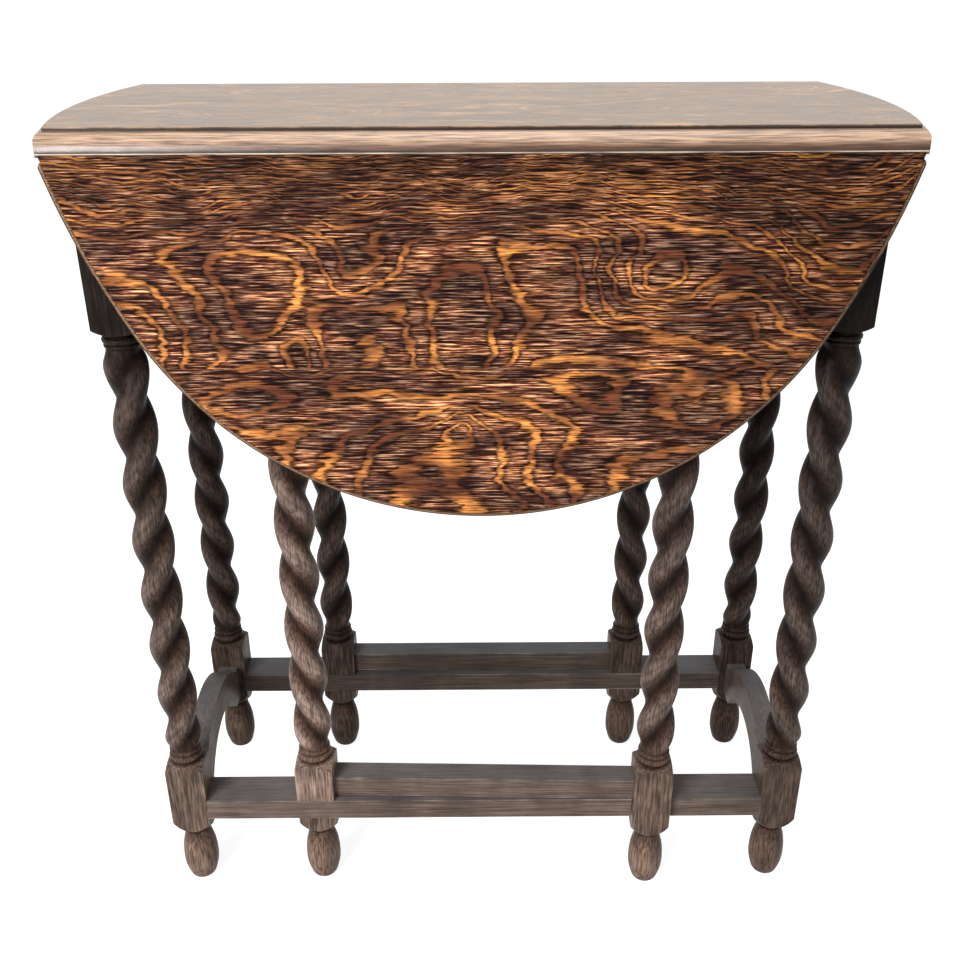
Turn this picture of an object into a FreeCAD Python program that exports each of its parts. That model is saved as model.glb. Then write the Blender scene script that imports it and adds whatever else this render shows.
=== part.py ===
import FreeCAD, Part
import math
import os
from FreeCAD import Vector

# Oak gateleg side table in millimetres, leaves down and gates folded against the frame.
# +X runs along the hinge lines, -Y is the front, +Z is up, and the origin is on the floor under the centre.

# Oval top with both leaves raised
height = 725.0
top_length = 654.0
open_width = 829.0
tip_relief = 30.0
top_thickness = 18.0

# Thumb mould round the oval edge
mould_inset = 6.0
mould_drop = 2.5
mould_round = 5.5

# Rule joint: a fillet and an ovolo on the fixed centre, a cove on the leaf, both about the hinge axis
leaf_stand_off = 12.5
rule_fillet = 2.0
hinge_rise = 2.0
rule_gap = 0.5

# Glued seams in the fixed centre and in each leaf
top_seam_offset = 25.0
leaf_inner_width = 155.5

# Legs: square blocks joined by turned and twisted stretches
leg_overhang = 45.0
leg_spacing_y = 199.0
block_width = 35.0
upper_block_height = 140.0
lower_block_bottom = 61.0
lower_block_height = 86.0
shoulder_height = 7.5
foot_shoulder_height = 19.0
shoulder_reach = 0.5
shoulder_swell = 2.5
neck_radius = 10.5

# Two-start twist
twist_bulge_radius = 17.3
twist_waist_radius = 11.0
twist_lead = 106.7
twist_fade = 10.0
twist_end_radius = 13.5
twist_step = 6.0
twist_points = 24
twist_pieces = 5
twist_crease_share = 0.3
corner_twist_start = 0.0
gate_twist_start = 90.0

# Turned collars between the blocks and the twist
collar_radius = 12.8
bead_radius = 15.5
ring_radius = 14.6
collar_neck_height = 1.2
upper_bead_height = 5.5
upper_ring_height = 4.0
lower_bead_height = 7.5
lower_ring_height = 5.5

# Pear foot
foot_belly_radius = 16.6
foot_base_radius = 9.5
foot_neck_radius = 11.6
foot_groove_height = 2.0
foot_swell_shares = (
    (0.7, 0.03),
    (0.82, 0.11),
    (0.96, 0.27),
    (1, 0.45),
    (0.97, 0.62),
    (0.88, 0.78),
    (0.75, 0.92),
)

# Aprons under the top
apron_height = 72.0
apron_thickness = 24.0
apron_setback = 2.0

# Stretchers
stretcher_bottom = 84.0
stretcher_height = 21.0
end_stretcher_thickness = 20.0
end_stretcher_bottom = 80.0
end_stretcher_shoulder = 37.5
end_stretcher_seat = 11.0
end_stretcher_depth = 33.0
end_stretcher_rise = 28.5
end_stretcher_foot = 22.0

# Mortise and tenon joints
tenon_length = 11.0
tenon_thickness = 8.0
stretcher_tenon_width = 16.0
tenon_margin_share = 0.22

# Gates: pivot post, swing leg and two rails each
gate_rail_depth = 22.0
lower_rail_height = 21.0
lower_rail_gap = 2.5
upper_rail_rise = 14.0
upper_rail_drop = 12.0
ajar_share = 0.84
post_end_gap = 0.3
leaf_rest_gap = 1.0
halving_gap = 0.6
halving_side_gap = 1.2

# Pivot pins and the feet under the pivot posts
pivot_pin_radius = 5.0
pivot_pin_in_post = 20.0
pivot_pin_in_stretcher = 12.0
pivot_pin_in_apron = 18.0
running_fit = 0.05
glue_fit = 0.02
foot_spigot_radius = 6.0
spigot_cover = 2.0

# Rule-joint hinges
hinge_inset = 82.0
hinge_width = 32.0
flap_thickness = 1.5
top_flap_length = 36.0
leaf_flap_length = 47.0
knuckle_radius = 3.5
knuckle_width = 10.0
knuckle_gap = 0.5
hinge_pin_radius = 1.5
hinge_recess_gap = 0.4
hinge_screw_spread = 9.0
hinge_screw_margin = 8.5
hinge_screw_spacing = 12.5

# Wood screws
screw_head_radius = 3.2
screw_head_height = 2.0
screw_shank_radius = 1.7
screw_point_cover = 6.0

# Buttons that hold the top to the aprons
button_length = 26.0
button_width = 26.0
button_height = 13.0
button_tongue = 6.0
button_groove_gap = 0.2
button_spread = 90.0

# Leaf stops
stop_length = 40.0
stop_width = 18.0
stop_height = 10.0
stop_screw_spread = 12.0

# How far a gate opens, and how far inside the leaf's edge its leg then stands
gate_swing_angle = 60.0
gate_reach_inset = 37.9

# Length by which a cutting tool passes the face that it cuts
overrun = 5.0

# Derived places
underside = height - top_thickness
hinge_z = underside + hinge_rise
rule_radius = top_thickness - rule_fillet - hinge_rise
leg_x = top_length / 2 - leg_overhang
leg_y = leg_spacing_y / 2
half_block = block_width / 2
joint_line = leg_y + half_block + leaf_stand_off
hinge_x = leg_x - hinge_inset
upper_block_bottom = underside - upper_block_height
lower_block_top = lower_block_bottom + lower_block_height
apron_bottom = underside - apron_height
stretcher_top = stretcher_bottom + stretcher_height
end_stretcher_spring = end_stretcher_bottom + end_stretcher_shoulder
foot_spigot_length = stretcher_height - pivot_pin_in_stretcher - spigot_cover
gate_reach = open_width / 2 - gate_reach_inset - leg_y
gate_length = gate_reach / math.sin(math.radians(gate_swing_angle))
gate_x = gate_length / 2
front_gate_ajar = math.degrees(math.asin(ajar_share * (leaf_stand_off - hinge_rise) / gate_length))
swing_leg_top = underside - leaf_rest_gap
post_bottom = stretcher_top + post_end_gap
post_top = apron_bottom - post_end_gap
lower_rail_bottom = stretcher_top + lower_rail_gap
lower_rail_top = lower_rail_bottom + lower_rail_height
upper_rail_bottom = upper_block_bottom + upper_rail_rise
upper_rail_top = post_top - upper_rail_drop
screw_length = top_thickness - screw_point_cover
button_screw_length = button_height + screw_length
stop_screw_length = stop_height + screw_length
up = Vector(0, 0, 1)
along = Vector(1, 0, 0)
origin = Vector(0, 0, 0)


def block(x0, x1, y0, y1, z0, z1):
    return Part.makeBox(x1 - x0, y1 - y0, z1 - z0, Vector(x0, y0, z0))


def placed(shape, x, y, z):
    copy = shape.copy()
    copy.translate(Vector(x, y, z))
    return copy


def turned_about(shape, point, axis, angle):
    copy = shape.copy()
    copy.rotate(point, axis, angle)
    return copy


def half_turn(shape):
    return turned_about(shape, origin, up, 180)


def joined(shapes):
    return shapes[0].multiFuse(shapes[1:]).removeSplitter()


def extruded(points, direction):
    # A closed outline of straight runs and arcs: an arc is a pair of its middle point and its end point.
    edges = []
    at = points[0]
    for step in points[1:] + [points[0]]:
        if isinstance(step, tuple):
            edges.append(Part.Arc(at, step[0], step[1]).toShape())
            at = step[1]
        else:
            if (step - at).Length > 0:
                edges.append(Part.LineSegment(at, step).toShape())
            at = step
    return Part.Face(Part.Wire(edges)).extrude(direction)


def revolved(profile):
    # Steps of a profile about the Z axis: two numbers, radius and height, end a straight run; four are the
    # middle and the end of an arc; a list of such pairs is a smooth curve.
    def point(radius, z):
        return Vector(radius, 0, z)

    edges = []
    at = start = point(0, profile[0][1])
    for step in profile:
        if isinstance(step, list):
            points = [at] + [point(radius, z) for radius, z in step]
            curve = Part.BSplineCurve()
            curve.interpolate(points)
        else:
            points = [at, point(step[-2], step[-1])]
            if len(step) > 2:
                curve = Part.Arc(at, point(step[0], step[1]), points[-1])
            else:
                curve = Part.LineSegment(*points)
        edges.append(curve.toShape())
        at = points[-1]
    last = point(0, at.z)
    edges.append(Part.LineSegment(at, last).toShape())
    edges.append(Part.LineSegment(last, start).toShape())
    return Part.Face(Part.Wire(edges)).revolve(origin, up, 360)


# The oval: two side arcs and two tip arcs that meet tangent, drawn in by an inset
def oval_slab(inset, z0, z1):
    half_x = top_length / 2
    half_y = open_width / 2
    tip_radius = half_x - tip_relief
    tip_centre = half_y - tip_radius
    side_radius = (half_x**2 + half_y**2 - 2 * half_y * tip_radius) / (2 * tip_relief)
    side_centre = side_radius - half_x
    meet = math.atan2(tip_centre, side_centre)
    side = side_radius - inset
    corner_x = side * math.cos(meet) - side_centre
    corner_y = side * math.sin(meet)
    right, left = half_x - inset, inset - half_x
    far, near = half_y - inset, inset - half_y
    outline = [
        Vector(corner_x, -corner_y, z0),
        (Vector(right, 0, z0), Vector(corner_x, corner_y, z0)),
        (Vector(0, far, z0), Vector(-corner_x, corner_y, z0)),
        (Vector(left, 0, z0), Vector(-corner_x, -corner_y, z0)),
        (Vector(0, near, z0), Vector(corner_x, -corner_y, z0)),
    ]
    return extruded(outline, Vector(0, 0, z1 - z0))


def whole_top():
    step_z = height - mould_drop
    lower = oval_slab(0, underside, step_z)
    rim = [e for e in lower.Edges if e.BoundBox.ZMin > step_z - mould_drop]
    lower = lower.makeFillet(mould_round, rim)
    return joined([lower, oval_slab(mould_inset, step_z - mould_drop, height)])


# Section of the fixed centre: flat top, fillet and ovolo down each long edge
def centre_section():
    quarter = math.sqrt(0.5) * rule_radius
    edge = joint_line + rule_radius
    fillet_z = height - rule_fillet
    x0 = -top_length
    outline = [
        Vector(x0, -joint_line, height),
        Vector(x0, -joint_line, fillet_z),
        (Vector(x0, -joint_line - quarter, hinge_z + quarter), Vector(x0, -edge, hinge_z)),
        Vector(x0, -edge, underside),
        Vector(x0, edge, underside),
        Vector(x0, edge, hinge_z),
        (Vector(x0, joint_line + quarter, hinge_z + quarter), Vector(x0, joint_line, fillet_z)),
        Vector(x0, joint_line, height),
    ]
    return extruded(outline, Vector(2 * top_length, 0, 0))


# Section of the front leaf while raised: lip, cove about the hinge axis, flat underside
def leaf_section():
    cove = rule_radius + rule_gap
    quarter = math.sqrt(0.5) * cove
    lip = -joint_line - rule_gap
    lip_z = hinge_z + math.sqrt(cove**2 - rule_gap**2)
    outer = -open_width
    x0 = -top_length
    outline = [
        Vector(x0, outer, height),
        Vector(x0, lip, height),
        Vector(x0, lip, lip_z),
        (Vector(x0, -joint_line - quarter, hinge_z + quarter), Vector(x0, -joint_line - cove, hinge_z)),
        Vector(x0, -joint_line - cove, underside),
        Vector(x0, outer, underside),
    ]
    return extruded(outline, Vector(2 * top_length, 0, 0))


def countersunk_screw(length, fit):
    # Head down at zero, shank pointing up
    return revolved([
        (screw_head_radius + fit, 0),
        (screw_shank_radius + fit, screw_head_height),
        (screw_shank_radius + fit, length + fit),
    ])


def screws_at(places, length, fit):
    return [placed(countersunk_screw(length, fit), *place) for place in places]


# Hinge flaps in the raised pose, for a hinge at the front joint line and x = 0
def hinge_knuckle(x0, x1):
    return Part.makeCylinder(knuckle_radius, x1 - x0, Vector(x0, -joint_line, hinge_z), along)


def hinge_pin_hole():
    start = Vector(-hinge_width, -joint_line, hinge_z)
    return Part.makeCylinder(hinge_pin_radius + running_fit, 2 * hinge_width, start, along)


def flap_screw_places(x, flap_length, way):
    # Two screws and then one towards the end of a flap that lies along way from the joint line
    far = flap_length - hinge_screw_margin
    near = far - hinge_screw_spacing
    rows = ((x - hinge_screw_spread, near), (x + hinge_screw_spread, near), (x, far))
    return [(place, -joint_line + way * row, underside) for place, row in rows]


def top_screw_places(x):
    return flap_screw_places(x, top_flap_length, 1)


def leaf_screw_places(x):
    return flap_screw_places(x, leaf_flap_length, -1)


def top_flap():
    half = hinge_width / 2
    middle = knuckle_width / 2 + knuckle_gap
    clear = knuckle_radius + knuckle_gap
    flap_top = underside + flap_thickness
    plate = block(-half, half, -joint_line, -joint_line + top_flap_length, underside, flap_top)
    flap = joined([plate, hinge_knuckle(-half, -middle), hinge_knuckle(middle, half)])
    below, above = hinge_z - clear, hinge_z + clear
    slot = block(-middle, middle, -joint_line - clear, -joint_line + clear, below, above)
    holes = screws_at(top_screw_places(0), screw_length, glue_fit)
    return flap.cut([slot, hinge_pin_hole()] + holes)


def leaf_flap():
    half = hinge_width / 2
    middle = knuckle_width / 2
    clear = knuckle_radius + knuckle_gap
    flap_top = underside + flap_thickness
    plate = block(-half, half, -joint_line - leaf_flap_length, -joint_line - clear, underside, flap_top)
    neck = block(-middle, middle, -joint_line - clear, -joint_line, underside, flap_top)
    flap = joined([plate, neck, hinge_knuckle(-middle, middle)])
    return flap.cut([hinge_pin_hole()] + screws_at(leaf_screw_places(0), screw_length, glue_fit))


def hinge_pin():
    half = hinge_width / 2
    return Part.makeCylinder(hinge_pin_radius, hinge_width, Vector(-half, -joint_line, hinge_z), along)


# Recesses for one hinge at x = 0: the flap, the knuckle and the way of the leaf flap under the ovolo
def top_hinge_recess():
    half = hinge_width / 2
    wide = half + hinge_recess_gap
    reach = knuckle_radius + hinge_recess_gap
    below = underside - overrun
    flap_top = underside + flap_thickness
    plate = block(-half, half, -joint_line, -joint_line + top_flap_length, below, flap_top)
    groove = Part.makeCylinder(reach, 2 * wide, Vector(-wide, -joint_line, hinge_z), along)
    mouth = block(-wide, wide, -joint_line - reach, -joint_line + reach, below, hinge_z)
    edge = -joint_line - rule_radius - overrun
    sweep = block(-wide, wide, edge, -joint_line, below, flap_top + hinge_recess_gap)
    return joined([plate, groove, mouth, sweep])


def leaf_hinge_recess():
    half = hinge_width / 2
    outer = -joint_line - leaf_flap_length
    return block(-half, half, outer, -joint_line, underside - overrun, underside + flap_thickness)


hinge_places = (-hinge_x, hinge_x)


def leaf_stop_place():
    # Beside the corner of the swing leg that leads when the gate is out
    angle = math.radians(gate_swing_angle)
    lead = half_block * (math.cos(angle) + math.sin(angle))
    x = -gate_x + gate_length * math.cos(angle) - lead - stop_length / 2
    return x, -leg_y - gate_reach


def leaf_stop_screw_places():
    x, y = leaf_stop_place()
    z = underside - stop_height
    return [(x - stop_screw_spread, y, z), (x + stop_screw_spread, y, z)]


def button_places():
    # Middle of each button's face that meets an apron, and the angle that turns it from the front apron
    long_face = leg_y + half_block - apron_setback - apron_thickness
    end_face = leg_x + half_block - apron_setback - apron_thickness
    return [
        (-button_spread, -long_face, 0),
        (button_spread, -long_face, 0),
        (button_spread, long_face, 180),
        (-button_spread, long_face, 180),
        (-end_face, 0, -90),
        (end_face, 0, 90),
    ]


def at_buttons(shape):
    copies = []
    for x, y, angle in button_places():
        copies.append(placed(turned_about(shape, origin, up, angle), x, y, 0))
    return copies


def button_screw(fit):
    screw = countersunk_screw(button_screw_length, fit)
    return placed(screw, 0, button_width / 2, underside - button_height)


def button_screws(fit):
    return at_buttons(button_screw(fit))


def button_body():
    half = button_length / 2
    bottom = underside - button_height
    body = block(-half, half, 0, button_width, bottom, underside)
    tongue = block(-half, half, -button_tongue, 0, bottom, bottom + button_tongue)
    return joined([body, tongue]).cut(button_screw(glue_fit))


def button_groove():
    half = button_length / 2 + button_groove_gap
    bottom = underside - button_height
    gap = button_groove_gap
    return block(-half, half, -button_tongue - gap, overrun, bottom - gap, bottom + button_tongue + gap)


# Fixed centre of the top, in two boards
def top_boards():
    solid = whole_top().common(centre_section())
    recesses = []
    for x in hinge_places:
        recess = placed(top_hinge_recess(), x, 0, 0)
        holes = screws_at(top_screw_places(x), screw_length, glue_fit)
        recesses += [recess, half_turn(recess)] + holes + [half_turn(hole) for hole in holes]
    solid = solid.cut(recesses + button_screws(glue_fit))
    seam = -top_seam_offset
    front = block(-top_length, top_length, -open_width, seam, 0, height + overrun)
    return solid.common(front), solid.cut(front)


# Front leaf, in two boards, in the raised pose
def leaf_boards():
    solid = whole_top().common(leaf_section())
    tools = screws_at(leaf_stop_screw_places(), stop_screw_length, glue_fit)
    for x in hinge_places:
        tools.append(placed(leaf_hinge_recess(), x, 0, 0))
        tools += screws_at(leaf_screw_places(x), screw_length, glue_fit)
    solid = solid.cut(tools)
    seam = -joint_line - leaf_inner_width
    outer = block(-top_length, top_length, -open_width, seam, 0, height + overrun)
    return solid.cut(outer), solid.common(outer)


def leaf_stop():
    x, y = leaf_stop_place()
    half_length, half_width = stop_length / 2, stop_width / 2
    bottom = underside - stop_height
    body = block(x - half_length, x + half_length, y - half_width, y + half_width, bottom, underside)
    return body.cut(screws_at(leaf_stop_screw_places(), stop_screw_length, glue_fit))


def hung(shape):
    # From the raised pose to the hanging one, about the front hinge axis
    return turned_about(shape, Vector(0, -joint_line, hinge_z), along, 90)


# Twist: a two-lobed section that turns as it climbs and fades to a round neck at both ends.
# A cubic surface keeps only a share of the radius of a ring of control points, by the angle between them.
def kept(angle):
    return (2 + math.cos(angle)) / 3


def twist(z0, z1, hand, start):
    rows = round((z1 - z0) / twist_step) + 1
    sector = 2 * math.pi / twist_points
    climb = 2 * math.pi * (z1 - z0) / (rows - 1) / twist_lead
    waist = twist_waist_radius / (kept(sector) * kept(climb))
    lobe_kept = kept(climb) * (kept(sector) + kept(3 * sector)) / 2
    swell = (twist_bulge_radius - twist_waist_radius) / lobe_kept
    crest = math.sqrt(1 + twist_crease_share**2) - twist_crease_share
    poles = []
    for j in range(twist_points):
        angle = sector * j
        lobe = (math.sqrt(math.cos(angle)**2 + twist_crease_share**2) - twist_crease_share) / crest
        column = []
        for i in range(rows):
            z = z0 + (z1 - z0) * i / (rows - 1)
            near = min(1, (z - z0) / twist_fade, (z1 - z) / twist_fade)
            bloom = near * near * (3 - 2 * near)
            radius = (1 - bloom) * twist_end_radius + bloom * (waist + swell * lobe)
            turn = math.radians(start) + angle + hand * climb * i
            column.append(Vector(radius * math.cos(turn), radius * math.sin(turn), z))
        poles.append(column)
    around = list(range(twist_points + 1))
    upwards = list(range(rows - 2))
    ends = [1] * len(upwards)
    ends[0] = ends[-1] = 4
    surface = Part.BSplineSurface()
    surface.buildFromPolesMultsKnots(poles, [1] * len(around), ends, around, upwards, True, False, 3, 3)
    cuts = [round(upwards[-1] * piece / twist_pieces) for piece in range(twist_pieces + 1)]
    faces = []
    for low, high in zip(cuts, cuts[1:]):
        length = surface.copy()
        length.segment(around[0], around[-1], low, high)
        faces.append(length.toShape())
    bottom = min(faces[0].Edges, key=lambda edge: edge.BoundBox.ZMax)
    top = max(faces[-1].Edges, key=lambda edge: edge.BoundBox.ZMin)
    shell = Part.Shell(faces + [Part.Face(Part.Wire(rim)) for rim in (bottom, top)])
    shell.sewShape()
    return Part.Solid(shell)


# Collar from a block to the twist: neck, bead and a smaller ring; way is +1 upwards and -1 downwards
def collar(z, bead, ring, way):
    bead_start = z + way * collar_neck_height
    bead_end = bead_start + way * bead
    ring_end = bead_end + way * ring
    return revolved([
        (collar_radius, z),
        (collar_radius, bead_start),
        (bead_radius, (bead_start + bead_end) / 2, collar_radius, bead_end),
        (ring_radius, (bead_end + ring_end) / 2, collar_radius, ring_end),
    ])


# Square block whose ends are turned down to round shoulders of these heights, or left square at zero
def turned_block(z0, z1, bottom_shoulder, top_shoulder):
    corner = half_block * math.sqrt(2) + shoulder_reach
    middle = (corner + neck_radius) / 2 + shoulder_swell
    solid = block(-half_block, half_block, -half_block, half_block, z0, z1)
    if bottom_shoulder:
        bulge = (middle, z0 + bottom_shoulder / 2, corner, z0 + bottom_shoulder)
        solid = solid.common(revolved([(neck_radius, z0), bulge, (corner, z1)]))
    if top_shoulder:
        bulge = (middle, z1 - top_shoulder / 2, neck_radius, z1)
        solid = solid.common(revolved([(corner, z0), (corner, z1 - top_shoulder), bulge]))
    return solid


def pear_foot():
    neck_z = lower_block_bottom - foot_groove_height
    swell = [(radius * foot_belly_radius, z * neck_z) for radius, z in foot_swell_shares]
    return revolved([
        (foot_base_radius, 0),
        swell + [(foot_neck_radius, neck_z)],
        (neck_radius, neck_z),
        (neck_radius, lower_block_bottom),
    ])


def upper_turning(hand, start):
    upper_end = upper_block_bottom - collar_neck_height - upper_bead_height - upper_ring_height
    lower_end = lower_block_top + collar_neck_height + lower_bead_height + lower_ring_height
    return [
        collar(upper_block_bottom, upper_bead_height, upper_ring_height, -1),
        collar(lower_block_top, lower_bead_height, lower_ring_height, 1),
        twist(lower_end, upper_end, hand, start),
    ]


# Tenons: each block is added to a rail and cut from the leg that it enters
def tenon(x0, x1, y0, y1, rail_bottom, rail_top):
    margin = tenon_margin_share * (rail_top - rail_bottom)
    return block(x0, x1, y0, y1, rail_bottom + margin, rail_top - margin)


def apron_tenon(x0, x1, y):
    half = tenon_thickness / 2
    return tenon(x0, x1, y - half, y + half, apron_bottom, underside)


def stretcher_tenon(x0, x1, y):
    half = stretcher_tenon_width / 2
    return tenon(x0, x1, y - half, y + half, stretcher_bottom, stretcher_top)


def end_apron_tenon(x, y0, y1):
    half = tenon_thickness / 2
    return tenon(x - half, x + half, y0, y1, apron_bottom, underside)


def end_stretcher_tenon(x, y0, y1):
    half = tenon_thickness / 2
    return tenon(x - half, x + half, y0, y1, end_stretcher_bottom, end_stretcher_spring)


def gate_tenon(x0, x1, y, z0, z1):
    half = tenon_thickness / 2
    return tenon(x0, x1, y - half, y + half, z0, z1)


front_apron_face = -leg_y - half_block + apron_setback
front_apron_middle = front_apron_face + apron_thickness / 2
left_apron_face = -leg_x - half_block + apron_setback
left_apron_middle = left_apron_face + apron_thickness / 2
inner_x = leg_x - half_block
inner_y = leg_y - half_block


# Front left corner leg; the other three are its mirror images
def corner_leg():
    upper = placed(turned_block(upper_block_bottom, underside, shoulder_height, 0), -leg_x, -leg_y, 0)
    lower = turned_block(lower_block_bottom, lower_block_top, foot_shoulder_height, shoulder_height)
    lower = placed(lower, -leg_x, -leg_y, 0)
    upper = upper.cut([
        apron_tenon(-inner_x - tenon_length, -inner_x + overrun, front_apron_middle),
        end_apron_tenon(left_apron_middle, -inner_y - tenon_length, -inner_y + overrun),
    ])
    lower = lower.cut([
        stretcher_tenon(-inner_x - tenon_length, -inner_x + overrun, -leg_y),
        end_stretcher_tenon(-leg_x, -inner_y - tenon_length, -inner_y + overrun),
    ])
    turnings = upper_turning(1, corner_twist_start) + [pear_foot()]
    return joined([upper, lower] + [placed(shape, -leg_x, -leg_y, 0) for shape in turnings])


def swing_leg_notch(face, floor, z0, z1):
    # Room in a front rail for the halved swing leg
    half = half_block + halving_side_gap
    return block(gate_x - half, gate_x + half, face, floor, z0, z1)


rail_halving = -leg_y + halving_gap / 2
leg_halving = -leg_y - halving_gap / 2


def front_apron():
    face, back = front_apron_face, front_apron_face + apron_thickness
    rail = block(-inner_x, inner_x, face, back, apron_bottom, underside)
    left = apron_tenon(-inner_x - tenon_length, -inner_x, front_apron_middle)
    right = apron_tenon(inner_x, inner_x + tenon_length, front_apron_middle)
    notch = swing_leg_notch(face - overrun, rail_halving, apron_bottom - overrun, underside + overrun)
    radius = pivot_pin_radius + running_fit
    start = Vector(-gate_x, -leg_y, apron_bottom - overrun)
    bore = Part.makeCylinder(radius, pivot_pin_in_apron + overrun, start, up)
    grooves = at_buttons(button_groove())[:2]
    return joined([rail, left, right]).cut([notch, bore] + grooves)


def left_apron():
    face, back = left_apron_face, left_apron_face + apron_thickness
    rail = block(face, back, -inner_y, inner_y, apron_bottom, underside)
    near = end_apron_tenon(left_apron_middle, -inner_y - tenon_length, -inner_y)
    far = end_apron_tenon(left_apron_middle, inner_y, inner_y + tenon_length)
    return joined([rail, near, far]).cut(at_buttons(button_groove())[4])


def front_stretcher():
    front, back = -leg_y - half_block, -leg_y + half_block
    rail = block(-inner_x, inner_x, front, back, stretcher_bottom, stretcher_top)
    left = stretcher_tenon(-inner_x - tenon_length, -inner_x, -leg_y)
    right = stretcher_tenon(inner_x, inner_x + tenon_length, -leg_y)
    below, above = stretcher_bottom - overrun, stretcher_top + overrun
    notch = swing_leg_notch(front - overrun, rail_halving, below, above)
    bore_bottom = Vector(-gate_x, -leg_y, stretcher_top - pivot_pin_in_stretcher)
    bore_radius = pivot_pin_radius + running_fit
    bore = Part.makeCylinder(bore_radius, pivot_pin_in_stretcher + overrun, bore_bottom, up)
    mouth = Vector(-gate_x, -leg_y, below)
    socket = Part.makeCylinder(foot_spigot_radius + glue_fit, foot_spigot_length + overrun, mouth, up)
    return joined([rail, left, right]).cut([notch, bore, socket])


# Left end stretcher: a board sawn to an arch, with straight feet where it meets the blocks
def left_end_stretcher():
    x0 = -leg_x - end_stretcher_thickness / 2
    crown = end_stretcher_spring + end_stretcher_rise
    seat = inner_y - end_stretcher_seat
    foot = inner_y - end_stretcher_foot
    outline = [
        Vector(x0, -inner_y, end_stretcher_bottom),
        Vector(x0, -inner_y, end_stretcher_spring),
        Vector(x0, -seat, end_stretcher_spring),
        (Vector(x0, 0, crown), Vector(x0, seat, end_stretcher_spring)),
        Vector(x0, inner_y, end_stretcher_spring),
        Vector(x0, inner_y, end_stretcher_bottom),
        Vector(x0, foot, end_stretcher_bottom),
        (Vector(x0, 0, crown - end_stretcher_depth), Vector(x0, -foot, end_stretcher_bottom)),
    ]
    arch = extruded(outline, Vector(end_stretcher_thickness, 0, 0))
    near = end_stretcher_tenon(-leg_x, -inner_y - tenon_length, -inner_y)
    far = end_stretcher_tenon(-leg_x, inner_y, inner_y + tenon_length)
    return joined([arch, near, far])


# Foot under the front pivot post: a square cap, the same pear, and a spigot up into the stretcher
def front_pivot_foot():
    cap = turned_block(lower_block_bottom, stretcher_bottom, foot_shoulder_height, 0)
    spigot_base = Vector(0, 0, stretcher_bottom)
    spigot = Part.makeCylinder(foot_spigot_radius, foot_spigot_length, spigot_base, up)
    foot = joined([cap, pear_foot(), spigot])
    return placed(foot, -gate_x, -leg_y, 0)


# Front gate in its folded place, parallel to the front stretcher
def pivot_pin_sockets():
    radius = pivot_pin_radius + glue_fit
    starts = (post_bottom - overrun, post_top - pivot_pin_in_post)
    return [Part.makeCylinder(radius, pivot_pin_in_post + overrun, Vector(0, 0, z), up) for z in starts]


def front_pivot_pins():
    low_z = stretcher_top - pivot_pin_in_stretcher + post_end_gap
    high_z = apron_bottom + pivot_pin_in_apron - post_end_gap
    pins = []
    for z0, z1 in ((low_z, post_bottom + pivot_pin_in_post), (post_top - pivot_pin_in_post, high_z)):
        pins.append(Part.makeCylinder(pivot_pin_radius, z1 - z0, Vector(-gate_x, -leg_y, z0), up))
    return Part.makeCompound(pins)


rail_x = gate_x - half_block
rail_heights = (
    (lower_rail_bottom, lower_rail_top),
    (upper_rail_bottom, upper_rail_top),
)


def gate_rail(z0, z1):
    half = gate_rail_depth / 2
    rail = block(-rail_x, rail_x, -leg_y - half, -leg_y + half, z0, z1)
    left = gate_tenon(-rail_x - tenon_length, -rail_x, -leg_y, z0, z1)
    right = gate_tenon(rail_x, rail_x + tenon_length, -leg_y, z0, z1)
    return joined([rail, left, right])


def gate_mortises(x0, x1):
    return [gate_tenon(x0, x1, -leg_y, z0, z1) for z0, z1 in rail_heights]


def pivot_post():
    x, y = -gate_x, -leg_y
    upper = turned_block(upper_block_bottom, post_top, shoulder_height, 0)
    lower = turned_block(post_bottom, lower_block_top, 0, shoulder_height)
    mortises = gate_mortises(-rail_x - tenon_length, -rail_x + overrun)
    sockets = [placed(socket, x, y, 0) for socket in pivot_pin_sockets()]
    blocks = [placed(piece, x, y, 0).cut(mortises + sockets) for piece in (upper, lower)]
    return joined(blocks + [placed(shape, x, y, 0) for shape in upper_turning(-1, gate_twist_start)])


def swing_leg():
    x, y = gate_x, -leg_y
    upper = turned_block(upper_block_bottom, swing_leg_top, shoulder_height, 0)
    lower = turned_block(lower_block_bottom, lower_block_top, foot_shoulder_height, shoulder_height)
    back = -leg_y + half_block + overrun
    left, right = x - half_block - overrun, x + half_block + overrun
    gap = halving_gap
    halvings = [
        block(left, right, leg_halving, back, apron_bottom - gap, underside + overrun),
        block(left, right, leg_halving, back, stretcher_bottom - gap, stretcher_top + gap),
    ]
    cuts = halvings + gate_mortises(rail_x - overrun, rail_x + tenon_length)
    blocks = [placed(piece, x, y, 0).cut(cuts) for piece in (upper, lower)]
    turnings = upper_turning(1, gate_twist_start) + [pear_foot()]
    return joined(blocks + [placed(shape, x, y, 0) for shape in turnings])


def ajar(shape):
    return turned_about(shape, Vector(-gate_x, -leg_y, 0), up, -front_gate_ajar)


def pair_at_hinges(shape):
    return Part.makeCompound([placed(shape, x, 0, 0) for x in hinge_places])


def group_at_hinges(places):
    screws = []
    for x in hinge_places:
        screws += screws_at(places(x), screw_length, 0)
    return Part.makeCompound(screws)


nodes = {}

top_front, top_rear = top_boards()
nodes["top_front_board"] = top_front
nodes["top_rear_board"] = top_rear

leg = corner_leg()
nodes["front_left_leg"] = leg
nodes["front_right_leg"] = leg.mirror(origin, along)
nodes["rear_left_leg"] = leg.mirror(origin, Vector(0, 1, 0))
nodes["rear_right_leg"] = half_turn(leg)

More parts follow.
